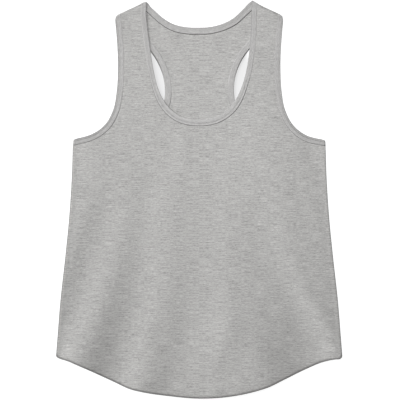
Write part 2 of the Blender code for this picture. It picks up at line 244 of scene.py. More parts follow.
def carriedOver(line, k, steps):
    # an edge with places past the shoulder: at both ends of a neck (0), at the start of an
    # armhole (-1 left, 1 right)
    if k:
        _, arm, _, outward = shoulderLine(k)
        return np.vstack([arm + outward * steps[::-1], line])
    (left, _, _, leftOut), (right, _, _, rightOut) = shoulderLine(-1), shoulderLine(1)
    return np.vstack([left + leftOut * steps[::-1], line, right + rightOut * steps])


def neckLine(points):
    # smooth line from shoulder to shoulder
    half, drop = shoulderCut["neck"]
    points = [(-half, drop)] + points + [(half, drop)]
    return evenPoints(smoothCurve([(x, -drop) for x, drop in points]), cuts["step"])


def armLine(points, side):
    # smooth line from shoulder to underarm; on the right a bell is added to its drop
    depth, middle, breadth = cuts["rightDeeper"]
    if side > 0:
        points = [(half, drop + depth * bell((half - middle, breadth))) for half, drop in points]
    return evenPoints(smoothCurve(plan([shoulderCut["arm"]] + points, side)), cuts["step"])


lines = {
    ("front", 0): neckLine(cuts["frontNeck"]),
    ("back", 0): neckLine(cuts["backNeck"]),
}
for side in (-1, 1):
    backArm = [(left if side < 0 else right, drop) for left, right, drop in cuts["backArm"]]
    lines["front", side] = armLine(cuts["frontArm"], side)
    lines["back", side] = armLine(backArm, side)
frontEdges = [evenPoints(lines["front", k], cuts["coarse"]) for k in (0, -1, 1)]
backEdges = [evenPoints(lines["back", k], cuts["coarse"]) for k in (0, -1, 1)]
sideLines = [evenPoints(smoothCurve(plan(cuts["side"], s)), cuts["sideCoarse"]) for s in (-1, 1)]
hemLeft = [(-half, -drop) for half, drop, _ in cuts["hem"]]
hemRight = [(half, -drop) for half, _, drop in cuts["hem"]]
hemLine = evenPoints(smoothCurve(hemLeft + hemRight[-2::-1]), cuts["hemStep"])
hemCoarse = evenPoints(hemLine, cuts["hemCoarse"])
print("lines drawn")


def foldHeight(points):
    # each fold is a bell across its own bending line, wider on one side than the other and
    # growing toward the hem; each swell is one slanting bell; the sum is kept from going below
    # nothing: half of it, plus half the root of its square and a small square
    x, drop = points[:, 0], -points[:, 1]
    height = np.zeros(len(points))
    for xTop, start, xHem, leftTop, leftHem, rightTop, rightHem, top, growth, bend in frontFolds.values():
        run = np.clip((drop - start) / (foldRules["foot"] - start), 1e-6, 1)
        offset = x - (xTop + (xHem - xTop) * run**bend)
        left, right = leftTop + (leftHem - leftTop) * run, rightTop + (rightHem - rightTop) * run
        height += top * smoothStep(run)**growth * bell((offset, np.where(offset < 0, left, right)))
    for xMid, dropMid, across, down, top, slant in frontSwells.values():
        height += top * bell((x - xMid - slant * (drop - dropMid), across), (drop - dropMid, down))
    height = height * (1 - bell((distanceTo(points, sideLines), foldRules["sideCalm"])))
    soft = foldRules["softFloor"]
    return 0.5 * (height + np.sqrt(height**2 + soft**2)) - soft / 2


def edgeHeight(points):
    # a bell along each side seam and across it
    drop, height = -points[:, 1], np.zeros(len(points))
    for side, (middle, down, across, top) in edgeLifts.items():
        gap = np.interp(drop, *reversed(np.array(cuts["side"]).T)) - side * points[:, 0]
        height += top * bell((drop - middle, down), (gap, across))
    return height


def backHeight(points):
    # base height, more where a binding lies under it, and a share of the folds
    near = fade(distanceTo(points, backEdges), *layers["back"])
    low, high = layers["backLow"], layers["backHigh"]
    return low + (high - low) * near + foldRules["backShare"] * foldHeight(points) + edgeHeight(points)


def frontHeight(points):
    # base height on the back, raised over bindings, shoulders and hems, less the straps' sag
    under = fade(distanceTo(points, backEdges), *layers["under"])
    own = fade(distanceTo(points, frontEdges), *layers["own"])
    shoulders = [np.array(shoulderLine(s)[:2]) for s in (-1, 1)]
    openFold = fade(distanceTo(points, shoulders), *layers["open"])
    hem = fade(distanceTo(points, [hemCoarse]), *layers["hem"])
    free = ramp(-points[:, 1], *layers["sagFrom"]) * fade(-points[:, 1], *layers["sagUpTo"])
    sag = free * bell((distanceTo(points, frontEdges[1:]), layers["sagWidth"]))
    return (layers["frontLow"] + layers["underBinding"] * under + layers["ownBinding"] * own
            + layers["shoulderOpen"] * openFold + layers["hemRaise"] * hem
            - layers["strapSag"] * sag + foldHeight(points) + edgeHeight(points))


upOf = {"front": 1.0, "back": -1.0}     # which way each layer faces


def place(points, layer, lift=0.0):
    # height by layer; past the shoulder line the cloth turns over a half round, where its
    # place along the turn is its distance past the line divided by the radius
    up = upOf[layer]
    height = frontHeight(points) if layer == "front" else backHeight(points)
    out = np.column_stack([points, height + up * lift])
    lift = np.broadcast_to(lift, len(points))
    for side in (-1, 1):
        neck, _, _, outward = shoulderLine(side)
        past = (points - neck) @ outward
        turned = (past > 1e-6) & (points[:, 0] * side > 0)
        radius = layers["rollRadius"] + lift[turned]
        angle = past[turned] / layers["rollRadius"]
        out[turned, :2] = points[turned] + (radius * np.sin(angle) - past[turned])[:, None] * outward
        out[turned, 2] = layers["rollCentre"] + up * radius * np.cos(angle)
    return out


softCorners = {     # place, way the cloth is drawn, how far, how wide the rounding is
    "leftArm": ((-147, -26.2), (0.855, -0.52), 2.3, 5),
    "rightArm": ((147, -26.2), (-0.855, -0.52), 2.3, 5),
    "leftTip": ((-92.8, -0.9), (0, -1), 0.5, 3),
    "leftTipOutside": ((-98, -3), (-0.42, 0.91), 0.9, 4),
    "leftTipInside": ((-87.8, -4.8), (0.7, 0.7), 0.9, 4),
    "rightTip": ((85, -4.5), (-0.1, 1), 2.7, 11),
    "rightTipOutside": ((98, -3), (0.42, 0.91), 0.6, 9),
    "leftUnderarm": ((-219, -240.2), (0.9, -0.45), 1.1, 4.5),
    "rightUnderarm": ((219, -240), (-0.75, -0.65), 1.1, 4),
}
drawIn = 1 / 1634.0     # raised cloth is drawn toward the middle by this share of its height


def softened(points):
    # corners drawn by a bell round each, then the plan drawn in where the cloth rises
    points = points.copy()
    for spot, way, depth, reach in softCorners.values():
        gap = np.hypot(points[:, 0] - spot[0], points[:, 1] - spot[1])
        points[:, :2] += np.array(way) * (depth * bell((gap, reach)))[:, None]
    points[:, 1] += lengthShift
    points[:, :2] *= 1 - points[:, 2:] * drawIn
    return points


def addObject(name, data):
    # a new object, linked to the scene
    made = bpy.data.objects.new(name, data)
    bpy.context.scene.collection.objects.link(made)
    return made


def makeMesh(name, points, faces, uv, material, shade=None):
    # points in mm, faces as a table of four indices, uv in metres per point
    used, index = np.unique(faces, return_inverse=True)
    faces = index.reshape(faces.shape)
    points, uv = softened(points[used]), uv[used]
    mesh = bpy.data.meshes.new(name)
    mesh.vertices.add(len(points))
    mesh.vertices.foreach_set("co", (points * mm).ravel())
    mesh.loops.add(faces.size)
    mesh.loops.foreach_set("vertex_index", faces.ravel().astype(np.int32))
    mesh.polygons.add(len(faces))
    mesh.polygons.foreach_set("loop_start", np.arange(0, faces.size, faces.shape[1], dtype=np.int32))
    mesh.polygons.foreach_set("use_smooth", np.ones(len(faces), dtype=bool))
    mesh.update(calc_edges=True)
    mesh.uv_layers.new(name="cloth").data.foreach_set("uv", uv[faces].ravel())
    # the 'shade' attribute carries painted shade and highlights; one where there is none
    shade = np.ones(len(points)) if shade is None else shade[used]
    mesh.attributes.new("shade", "FLOAT", "POINT").data.foreach_set("value", shade)
    mesh.materials.append(material)
    return addObject(name, mesh)


def gridFaces(rows, columns, closeRows=False, closeColumns=False):
    # quads between neighbouring rows and columns of a table of points
    r = np.arange(rows if closeRows else rows - 1)[:, None]
    c = np.arange(columns if closeColumns else columns - 1)
    r2, c2 = (r + 1) % rows, (c + 1) % columns
    quads = [r * columns + c, r * columns + c2, r2 * columns + c2, r2 * columns + c]
    return np.stack(np.broadcast_arrays(*quads), axis=-1).reshape(-1, 4)


# materials

jerseyLook = {
    "colour": (0.366, 0.362, 0.355), "fleck": 0.40, "streak": 0.36, "fine": 0.27, "cloud": 0.05,
    "fleckSize": (5.6, 1.1), "streakSize": (24.0, 1.1), "fineSize": (2.2, 0.8), "cloudSize": (30.0, 20.0),
    "wale": 1.15, "course": 0.85, "relief": 0.16,       # rib, loop and depth of the knit
    "rib": 1.2, "loop": 0.22, "hair": 0.8,              # what each adds to the relief
    "vee": 1.1, "bump": 0.6,                            # slant of the loops, strength of it all
    "surface": {"Roughness": 0.9, "Specular IOR Level": 0.2, "Sheen Weight": 0.12, "Sheen Roughness": 0.6},
}
bindingLook = dict(jerseyLook, colour=(0.370, 0.3655, 0.362), fleck=0.30, streak=0.14, fine=0.16, cloud=0.04)
# the thread's darker tone is painted shade in the grooves of its twist
threadLook = {"colour": (0.46, 0.455, 0.447), "surface": {"Roughness": 0.75}, "twist": 900.0, "twistShade": 0.86}


def fill(tree, node, inputs):
    # an input that is given another node's output is linked, the others are set
    for word, value in inputs.items():
        if isinstance(value, bpy.types.NodeSocket):
            tree.links.new(value, node.inputs[word])
        else:
            node.inputs[word].default_value = value


def addNode(tree, kind, inputs=(), **settings):
    # a new node with its settings and its inputs filled
    node = tree.nodes.new("ShaderNode" + kind)
    for word, value in settings.items():
        setattr(node, word, value)
    fill(tree, node, dict(inputs))
    return node


def newMaterial(name, inputs):
    # a material, its node tree, and its shader with the inputs filled
    material = bpy.data.materials.new(name)
    material.use_nodes = True
    tree = material.node_tree
    shader = tree.nodes["Principled BSDF"]
    fill(tree, shader, inputs)
    return material, tree, shader


def clothMaterial(name, look):
    # heather: base colour times one plus short cross-wise flecks, fine hairs and slow clouds, and times the
    # painted shade and highlights of the 'shade' attribute;
    # relief: V-shaped knit stitches, ribs across and loops along, with a little of the hairs
    material, tree, shader = newMaterial(name, look["surface"])
    uvMap = addNode(tree, "UVMap", uv_map="cloth").outputs[0]

    def maths(operation, *values):
        return addNode(tree, "Math", enumerate(values), operation=operation).outputs[0]

    def noise(across, down, detail):
        scale = (1000 / across, 1000 / down, 1000 / across)
        at = addNode(tree, "Mapping", {"Vector": uvMap, "Scale": scale}).outputs[0]
        inputs = {"Vector": at, "Scale": 1.0, "Detail": detail, "Roughness": 0.5}
        return addNode(tree, "TexNoise", inputs, noise_dimensions="2D").outputs[0]

    value = 1.0
    for word, detail in (("fleck", 2.0), ("streak", 1.0), ("cloud", 1.0), ("fine", 1.0)):
        part = noise(*look[word + "Size"], detail)
        value = maths("ADD", maths("MULTIPLY", maths("SUBTRACT", part, 0.5), look[word] * 2), value)
    # painted shade and highlights along seams, folds and edges come in here through the 'shade' attribute
    value = maths("MULTIPLY", value, addNode(tree, "Attribute", attribute_name="shade").outputs["Fac"])
    colour = addNode(tree, "VectorMath", {0: look["colour"], "Scale": value}, operation="SCALE")

    split = addNode(tree, "SeparateXYZ", {0: uvMap})
    rib = maths("PINGPONG", maths("MULTIPLY", split.outputs[0], 1000 / look["wale"]), 0.5)
    row = maths("MULTIPLY", split.outputs[1], 1000 / look["course"])
    turn = maths("MULTIPLY", maths("ADD", row, maths("MULTIPLY", rib, look["vee"])), 2 * math.pi)
    height = maths("MULTIPLY", rib, look["rib"])
    height = maths("ADD", height, maths("MULTIPLY", maths("SINE", turn), look["loop"]))
    height = maths("ADD", height, maths("MULTIPLY", part, look["hair"]))      # part is now the hairs
    bump = addNode(tree, "Bump", {
        "Height": height, "Strength": look["bump"], "Distance": look["relief"] * mm})
    fill(tree, shader, {"Base Color": colour.outputs[0], "Normal": bump.outputs[0]})
    return material


def threadMaterial(name, look):
    # twisted thread: two tones by a slanting wave on the object's own coordinates, the darker one painted
    # shade in the grooves of the twist
    material, tree, shader = newMaterial(name, look["surface"])
    own = addNode(tree, "TexCoord").outputs["Object"]
    wave = addNode(tree, "TexWave", {"Scale": look["twist"], "Vector": own})
    tones = addNode(tree, "ValToRGB", {0: wave.outputs["Fac"]})
    tones.color_ramp.elements[0].color = tuple(c * look["twistShade"] for c in look["colour"]) + (1.0,)
    tones.color_ramp.elements[1].color = look["colour"] + (1.0,)
    fill(tree, shader, {"Base Color": tones.outputs[0]})
    return material


jersey = clothMaterial("heather jersey", jerseyLook)
bindingJersey = clothMaterial("binding jersey", bindingLook)
thread = threadMaterial("sewing thread", threadLook)
print("materials ready")


# panels

panelMesh = {
    "cell": 2.9,
    "rimSteps": (0.0, 0.12, 0.24, 0.36, 0.50, 0.9, 1.7, 2.9, 4.4),      # in from the side seam
    "shoulderSteps": (0.0, 0.3, 0.6, 0.9, 1.2, 1.5, 1.9, 2.6, 3.8, 5.6),
    "hemSteps": (13.5, 11.5, 10.3, 9.3, 8.6, 8.0, 7.4, 6.6, 5.2, 3.8, 2.4, 1.3, 0.5),
    "upperLength": 226.0, "lowerLength": 415.0,     # typical, above and below the underarm
    "rawEdge": 1.45,        # the panel ends this far inside the folded binding
    "pastShoulder": 14.0,   # the cuts are carried on this far over the shoulder
    "cutDepth": 300.0,      # nothing is cut away below this drop
    "seamStop": 0.05,       # panels stop just short of the seam on the shoulder
    "rimCurl": 0.32, "rimFlat": 0.02, "rimFade": (3.0, 9.0),    # half round along the side seam
    "curlFrom": (252.0, 16.0),      # drop where that sets in, and over how far
    "allowance": ((4.4, 2.2), (0.7, 2.0)),      # inner and outer edge of the seam allowance
    "hemWidth": 9.6,
    "hemFold": 0.30,        # half the distance between a panel and its turned-up hem
    "hemBend": (30, 60, 90, 120, 150, 180),     # degrees round the fold
    "hemRows": 4,           # rows on the part that is turned up
    "hemReach": 6.0,        # the hem's direction is taken this far to each side
    "hemStitch": 8.0,       # stitched this far in from the hem
    "grooveBreadth": 0.7, "grooveDepth": 0.10,
}
panelPaintedShading = {
    # painted shade: shares of the cloth's own colour where the cloth turns over at an edge, and where the
    # tone fades: flat, width
    "side": 0.58, "sideFade": (0.3, 1.6),
    "hem": 0.50, "hemFade": (1.6, 2.6),
    "shoulder": (0.08, 0.20), "shoulderFade": (1.6, 3.0),       # left and right, how much darker
    # painted shade on the front at the right shoulder, where the corner falls away from the light; painted
    # light on the back beside the lower left of the neck, against the shadow of the front's edge
    "corner": 0.10, "cornerAt": (143.0, 26.0), "cornerSize": (18.0, 19.0),
    "glow": 0.10, "glowAt": (-48.0, 178.0), "glowSize": (20.0, 16.0), "glowReach": 2.4,
}


def cutAway(points, layer):
    # true in the neck opening and the armholes, and within the raw-edge margin of them; each
    # is closed by corners well outside the cloth
    over, far, high = np.array([[panelMesh["pastShoulder"]]]), 400, 300
    away, gap = False, np.inf
    for k in (0, -1, 1):
        line = carriedOver(lines[layer, k], k, over)
        low = [(k * far, line[-1, 1])] if k else []
        corners = low + [(k * far if k else line[-1, 0], high), (line[0, 0], high)]
        away = away | insideOf(points, np.vstack([line, corners]))
        gap = np.minimum(gap, gapTo(points, line))
    return (away | (gap < panelMesh["rawEdge"])) & (points[:, 1] > -panelMesh["cutDepth"])


def paintedShadingSpot(word, x, drop, *more):
    # a bell round one place of the panels' painted shade or painted light
    (xMid, dropMid), (across, down) = panelPaintedShading[word + "At"], panelPaintedShading[word + "Size"]
    return bell(*more, (x - xMid, across), (drop - dropMid, down))


def panelCut():
    # the flat cut as a table of places: columns from side seam to side seam, finer at the rim;
    # rows from the turn over the shoulder, level at the underarm, then bending to the hem
    reach, under, cell = cuts["hem"][0][0], cuts["underarm"], panelMesh["cell"]
    rim = np.array(panelMesh["rimSteps"])
    inner = np.linspace(-reach + rim[-1], reach - rim[-1], int(2 * reach / cell))[1:-1]
    across = np.concatenate([-reach + rim, inner, (reach - rim)[::-1]])
    share = across / reach

    top, length = np.array(panelMesh["shoulderSteps"]), panelMesh["upperLength"]
    upper = np.concatenate([top, np.arange(top[-1] + cell, length - 1, cell)]) / length
    hemIn, length = np.array(panelMesh["hemSteps"]), panelMesh["lowerLength"]
    lower = np.concatenate([np.arange(0, length - hemIn[0] - 1, cell), length - hemIn]) / length

    (xNeck, dropNeck), (xArm, dropArm) = shoulderCut["neck"], shoulderCut["arm"]
    lean = (dropArm - dropNeck) / (xArm - xNeck)
    turn = layers["rollRadius"] * math.pi / 2 - panelMesh["seamStop"]
    xTop = share * cuts["side"][0][0]
    dropTop = dropNeck + (np.abs(xTop) - xNeck) * lean - turn * math.hypot(1, lean)
    dropUpper = dropTop + (under - dropTop) * upper[:, None]
    xUpper = np.broadcast_to(xTop, dropUpper.shape)

    hemDrop = -np.interp(across, *hemLine.T)
    dropLower = under + (hemDrop - under) * lower[:, None]
    sideLine = smoothCurve(cuts["side"])
    halfLower = np.interp(under + (hemDrop[0] - under) * lower, sideLine[:, 1], sideLine[:, 0])
    xLower = share * halfLower[:, None]
    return across, hemDrop, np.vstack([xUpper, xLower]), np.vstack([dropUpper, dropLower])


def placeTable(table, layer):
    # place, for a table of rows and columns
    return place(table.reshape(-1, 2), layer).reshape(*table.shape[:2], 3)


def middleHeight(table):
    # half way between the two layers
    flat = table.reshape(-1, 2)
    return (frontHeight(flat) + backHeight(flat)).reshape(table.shape[:2]) / 2


def hemRows(layer, across, hemDrop, rimShift, angle):
    # a half round under the hem and back in: e is the distance in from the hem, n the distance
    # off the panel; the second table is the rows' flat cut
    reach, step, first = cuts["hem"][0][0], panelMesh["hemReach"], panelMesh["hemSteps"][-1]
    bend, count = np.radians(panelMesh["hemBend"]), panelMesh["hemRows"]
    e = np.concatenate([first * (1 - np.sin(bend)), np.linspace(first, panelMesh["hemWidth"], count + 1)[1:]])
    n = -panelMesh["hemFold"] * np.concatenate([1 - np.cos(bend), np.full(count, 2.0)])
    before, after = np.maximum(across - step, -reach), np.minimum(across + step, reach)
    fall = np.interp(after, *hemLine.T) - np.interp(before, *hemLine.T)
    inward = leftOf(np.column_stack([after - before, fall]))
    line = np.column_stack([across, -hemDrop])
    base = line + inward * e[:, None, None]
    seat = line + inward * np.maximum(e, first)[:, None, None]
    base[..., 0] -= np.sign(across) * rimShift
    middle = middleHeight(seat)
    height = placeTable(seat, layer)[..., 2] + upOf[layer] * n[:, None]
    height = middle + (height - middle) * np.cos(angle)
    flatDrop = hemDrop + lengthAlong(np.column_stack([e, n]))[:, None]
    flat = np.stack([np.broadcast_to(across, flatDrop.shape), -flatDrop], axis=-1)
    return np.concatenate([base, height[..., None]], axis=-1), flat


def panelShade(layer, x, drop, rimIn, hemGap, curled, turnedRows):
    # painted shade: one, less a dark line that fades in from the side seams, from the hem and from the
    # shoulder, where the cloth turns over
    turned = np.ones((turnedRows, x.shape[1]))
    side = toned(panelPaintedShading["side"], fade(rimIn, *panelPaintedShading["sideFade"]) * np.vstack([curled, turned]))
    hem = toned(panelPaintedShading["hem"], np.vstack([fade(hemGap, *panelPaintedShading["hemFade"]), turned]))
    shade = np.minimum(side, hem)
    seen = shade[:len(x)]
    seen *= 1 - sided(x, panelPaintedShading["shoulder"]) * fade(drop - drop[0], *panelPaintedShading["shoulderFade"])
    # painted shade at the front's right shoulder, painted light on the back beside the lower left of the neck
    if layer == "front":
        seen *= 1 - panelPaintedShading["corner"] * paintedShadingSpot("corner", x, drop)
    else:
        gap = gapTo(np.column_stack([x.ravel(), -drop.ravel()]), lines["front", 0]).reshape(x.shape)
        seen *= 1 + panelPaintedShading["glow"] * paintedShadingSpot("glow", x, drop, (gap, panelPaintedShading["glowReach"]))
    return shade


def makePanel(name, layer, material):
    # the flat cut laid at its height, with a curled side seam and a hem turned up
    across, hemDrop, x, drop = panelCut()
    flat = np.stack([x, -drop], axis=-1)

    # the curl: an upright half round along the side seam, shared by the two panels
    reach, curl = cuts["hem"][0][0], panelMesh["rimCurl"]
    rimIn = np.minimum(reach - across, reach + across)
    angle = np.clip(math.pi / 2 - (rimIn - panelMesh["rimFlat"]) / curl, 0, math.pi / 2)
    inset = np.where(rimIn < curl * math.pi / 2, curl * (1 - np.sin(angle)), rimIn - curl * (math.pi / 2 - 1))
    rimShift = (layers["wall"] / 2 + inset - rimIn) * fade(rimIn, *panelMesh["rimFade"])
    curled = ramp(drop, *panelMesh["curlFrom"])
    points = flat.copy()
    points[..., 0] -= np.sign(x) * rimShift * curled
    solid = placeTable(points, layer)
    middle = middleHeight(points)
    solid[..., 2] = middle + (solid[..., 2] - middle) * (1 - curled * (1 - np.cos(angle)))

    # the seam allowance lies inside the side seam, under the front
    if layer == "front":
        inner, outer = panelMesh["allowance"]
        solid[..., 2] += layers["sideRaise"] * (fade(rimIn, *inner) * ramp(rimIn, *outer)) * curled

    # a shallow groove where the hem is stitched
    hemGap = distanceTo(flat.reshape(-1, 2), [hemLine]).reshape(x.shape)
    groove = bell((hemGap - panelMesh["hemStitch"], panelMesh["grooveBreadth"]))
    solid[..., 2] -= upOf[layer] * panelMesh["grooveDepth"] * groove * curled

    hem, hemFlat = hemRows(layer, across, hemDrop, rimShift, angle)
    points = np.concatenate([solid, hem]).reshape(-1, 3)
    uv = np.concatenate([flat, hemFlat]).reshape(-1, 2) * mm
    gone = np.zeros(len(points), dtype=bool)
    gone[:x.size] = cutAway(flat.reshape(-1, 2), layer)
    faces = gridFaces(len(x) + len(hem), len(across))
    faces = faces[~gone[faces].any(axis=1)]
    faces = faces[:, ::-1] if layer == "front" else faces
    shade = panelShade(layer, x, drop, rimIn, hemGap, curled, len(hem))
    panel = makeMesh(name, points, faces, uv, material, shade.ravel())
    wall = panel.modifiers.new("wall", "SOLIDIFY")
    wall.thickness = layers["wall"] * mm
    wall.offset = 0.0
    return panel


backPanel = makePanel("backPanel", "back", jersey)
frontPanel = makePanel("frontPanel", "front", jersey)
print("panels cut")


# bindings

neckBand = {
    "outside": 10.7, "inside": 11.4,            # width of the two legs
    "stitch": 6.7, "ridge": 9.0, "lip": 2.3,    # in from the fold
    "closed": True,                             # a ring
    # how full it stands: on the straps, how much more below them, from which drop, over how far
    "press": {"front": (0.1, 0.40, 95.0, 70.0), "back": (0.8, 0.0, 0.0, 1.0)},
    "strap": 0.20, "strapEnd": (140.0, 50.0),       # how much narrower on the straps, to which drop
    "backLeft": 0.10, "backLeftFrom": (30.0, 40.0),
}
armBand = {
    "outside": 9.7, "inside": 10.5, "stitch": 3.5, "ridge": 6.6, "lip": 1.7,
    "closed": False,
    "press": {"front": (0.15, 0.55, 140.0, 80.0), "back": (0.15, 0.0, 0.0, 1.0)},
    "right": 0.06, "rightEnd": (212.0, 18.0),
}
bandShape = {
    # outer face in three parts: distance and height off the panel, measured from the leg's
    # width, from the stitches and from the fold
    "width": [(0.9, 0.33), (0.12, 0.36), (0.0, 0.47), (-0.25, 0.57), (-0.7, 0.65), (-1.3, 0.72)],
    "stitches": [(1.4, 0.70), (0.8, 0.65), (0.3, 0.48), (-0.3, 0.48), (-0.8, 0.65), (-1.5, 0.72)],
    "fold": [(1.8, 0.70), (0.9, 0.64), (0.35, 0.48), (0.08, 0.26)],
    "seat": 0.48,           # height of the stitched groove
    "inner": 0.30,          # height of the inner face
    "firm": 0.33,           # and up to which the strip isn't pressed
    # inside the fold: depth, lean, how far the tip stays back, height where the face is full
    "innerTurn": (1.0, 0.15, 0.3, 0.28),
    "hidden": 0.12,         # how full the strip stands where it lies against other cloth
    "step": 2.5,            # spacing of the rings
    "rollRings": 6,         # rings on the turn over the shoulder
    "ease": 26.0, "sideEase": 16.0,     # how far the ends turn toward the shoulder and the side seam
}
bandPaintedShading = {
    # how far each painted shade or highlight spreads across the strip
    "seam": 0.1, "under": 0.3, "stitch": 0.9, "ridge": 1.0, "lip": 1.2, "fold": 1.2,
    "insideRidge": (2.2, 1.2),      # in from the inside seam, breadth
}


def bandSection(band):
    # outer path from the outside seam round the fold to the inside seam, as distance in from
    # the edge and distance off the panel; the inner path follows it against the panel
    def leg(width):
        seam, groove = np.array(bandShape["width"]), np.array(bandShape["stitches"])
        return np.vstack([seam + (width, 0), groove + (band["stitch"], 0), bandShape["fold"]])

    inside = leg(band["inside"]) * (1, -1)
    outer = np.vstack([leg(band["outside"]), [(0.0, 0.0)], inside[::-1]])
    depth, lean, back, full = bandShape["innerTurn"]
    n = bandShape["inner"] * np.clip(outer[:, 1] / full, -1, 1)
    fold = depth - lean * (depth - outer[:, 0]) - back * (1 - np.abs(n) / bandShape["inner"])
    return outer, np.column_stack([np.where(outer[:, 0] < depth, fold, outer[:, 0]), n])


def eased(inward, line, target, width):
    # the direction into the cloth turns gently into the direction along a seam
    mix = fade(lengthAlong(line), 0, width)[:, None]
    return unit(inward * (1 - mix) + target * mix)


rollSteps = np.linspace(0, layers["rollRadius"] * math.pi / 2, bandShape["rollRings"] + 1)[1:, None]


def stations(layer, k):
    # places along an edge and over the shoulder, and the direction into the cloth at each
    line = evenPoints(lines[layer, k], bandShape["step"])
    inward = -(k or 1) * leftOf(np.gradient(line, axis=0))
    if k:
        seam = np.diff(plan(cuts["side"][:2], k), axis=0)[0]
        start, end, ease = -shoulderLine(k)[2], seam / np.linalg.norm(seam), bandShape["sideEase"]
    else:
        start, end, ease = shoulderLine(-1)[2], shoulderLine(1)[2], bandShape["ease"]
    inward = eased(inward, line, start, bandShape["ease"])
    inward = eased(inward[::-1], line[::-1], end, ease)[::-1]
    over = np.ones_like(rollSteps)
    ways = [start * over, inward] if k else [start * over, inward, end * over]
    return carriedOver(line, k, rollSteps), np.vstack(ways)


def pressed(points, layer, band):
    # how full the strip stands where it shows: 1 is full, and less on the straps
    strap, more, start, run = band["press"][layer]
    return strap + more * ramp(-points[:, 1], start, run)


def narrowed(points, layer, band):
    # the neck strip on the straps and at the left of the back, and the right armhole strip down
    # to the underarm, are narrower
    x, drop = points[:, 0], -points[:, 1]
    if not band["closed"]:
        return 1 - band["right"] * (x > 0) * fade(drop, *band["rightEnd"])
    if layer == "front":
        return 1 - band["strap"] * fade(drop, *band["strapEnd"])
    return 1 - band["backLeft"] * ramp(-x, *band["backLeftFrom"])


def bandRings(run, layer, section, band):
    # every section point at every station: stations down, section across
    points, inward = run
    e, n = np.array(section).T
    flat = points[:, None] + inward[:, None] * (e * narrowed(points, layer, band)[:, None])[..., None]
    firm = bandShape["firm"]
    seen = n * upOf[layer] > 0
    press = np.where(seen, pressed(points, layer, band)[:, None], bandShape["hidden"])
    lift = np.where(np.abs(n) > firm, np.sign(n) * (firm + (np.abs(n) - firm) * press), n)
    return place(flat.reshape(-1, 2), layer, lift.ravel()).reshape(len(points), len(e), 3)


def joined(front, back, closed):
    # rows of the front and of the back as one run, with the rows they share only once
    if closed:
        return np.concatenate([front, back[::-1][1:-1]])
    return np.concatenate([front[::-1], back[1:]])


def makeBand(name, band, run, turned, look, material):
    # a closed section carried along the edge; each painted shade or highlight of the look spreads round its
    # own place
    outer, inner = bandSection(band)
    section = np.vstack([outer, inner[::-1]])
    e, above = section[:, 0], np.arange(len(section)) < len(outer) // 2
    ridgeIn, ridgeBreadth = bandPaintedShading["insideRidge"]
    seamHere, underHere = e > band["outside"] - bandPaintedShading["seam"], e > band["inside"] - bandPaintedShading["under"]
    insideRidgeHere = bell((e - band["inside"] + ridgeIn, ridgeBreadth))
    here = {word: bell((e - band[word], bandPaintedShading[word])) for word in ("ridge", "stitch", "lip")}
    rings, shades = [], []
    for layer in ("front", "back"):
        points = run[layer][0]
        rings.append(bandRings(run[layer], layer, section, band))
        tone = stripPaintedShading(look[layer], points[:, 0], -points[:, 1])
        outside = toned(tone["seam"], seamHere) * toned(tone["ridge"], here["ridge"])
        outside *= toned(tone["stitch"], here["stitch"])
        inside = toned(tone["under"], underHere) * toned(tone["ridge"], insideRidgeHere)
        foldHere = fade(e, tone["reach"], bandPaintedShading["fold"])
        fold = toned(tone["edge"], foldHere) * toned(tone["lip"], here["lip"])
        shades.append(np.where(above, outside, inside) * fold * tone["every"])
    rings, shade = joined(*rings, band["closed"]), joined(*shades, band["closed"])
    rows, columns = rings.shape[:2]
    faces = gridFaces(rows, columns, closeRows=band["closed"], closeColumns=True)
    if not band["closed"]:
        k = np.arange(len(outer) - 1)
        cap = np.column_stack([k, k + 1, columns - 2 - k, columns - 1 - k])
        faces = np.vstack([faces, cap[:, ::-1], cap + (rows - 1) * columns])
    faces = faces[:, ::-1] if turned else faces
    along, around = lengthAlong(rings[:, len(outer) // 2]), lengthAlong(section)
    uv = np.stack(np.broadcast_arrays(along[:, None], around), axis=-1).reshape(-1, 2) * mm
    return makeMesh(name, rings.reshape(-1, 3), faces, uv, material, shade.ravel())


# changes along a strip: by x or by the drop, from where and over how far (backward with a minus)
stripChanges = {
    "scoop": ("drop", 95.0, 65.0), "neckTop": ("drop", 100.0, -40.0), "right": ("x", 15.0, 30.0),
    "backRight": ("x", 45.0, 25.0), "curve": ("drop", 150.0, 70.0), "deep": ("drop", 218.0, 14.0),
    "armTop": ("drop", 75.0, -40.0), "backTop": ("drop", 140.0, -40.0), "backCurve": ("drop", 140.0, 40.0),
}
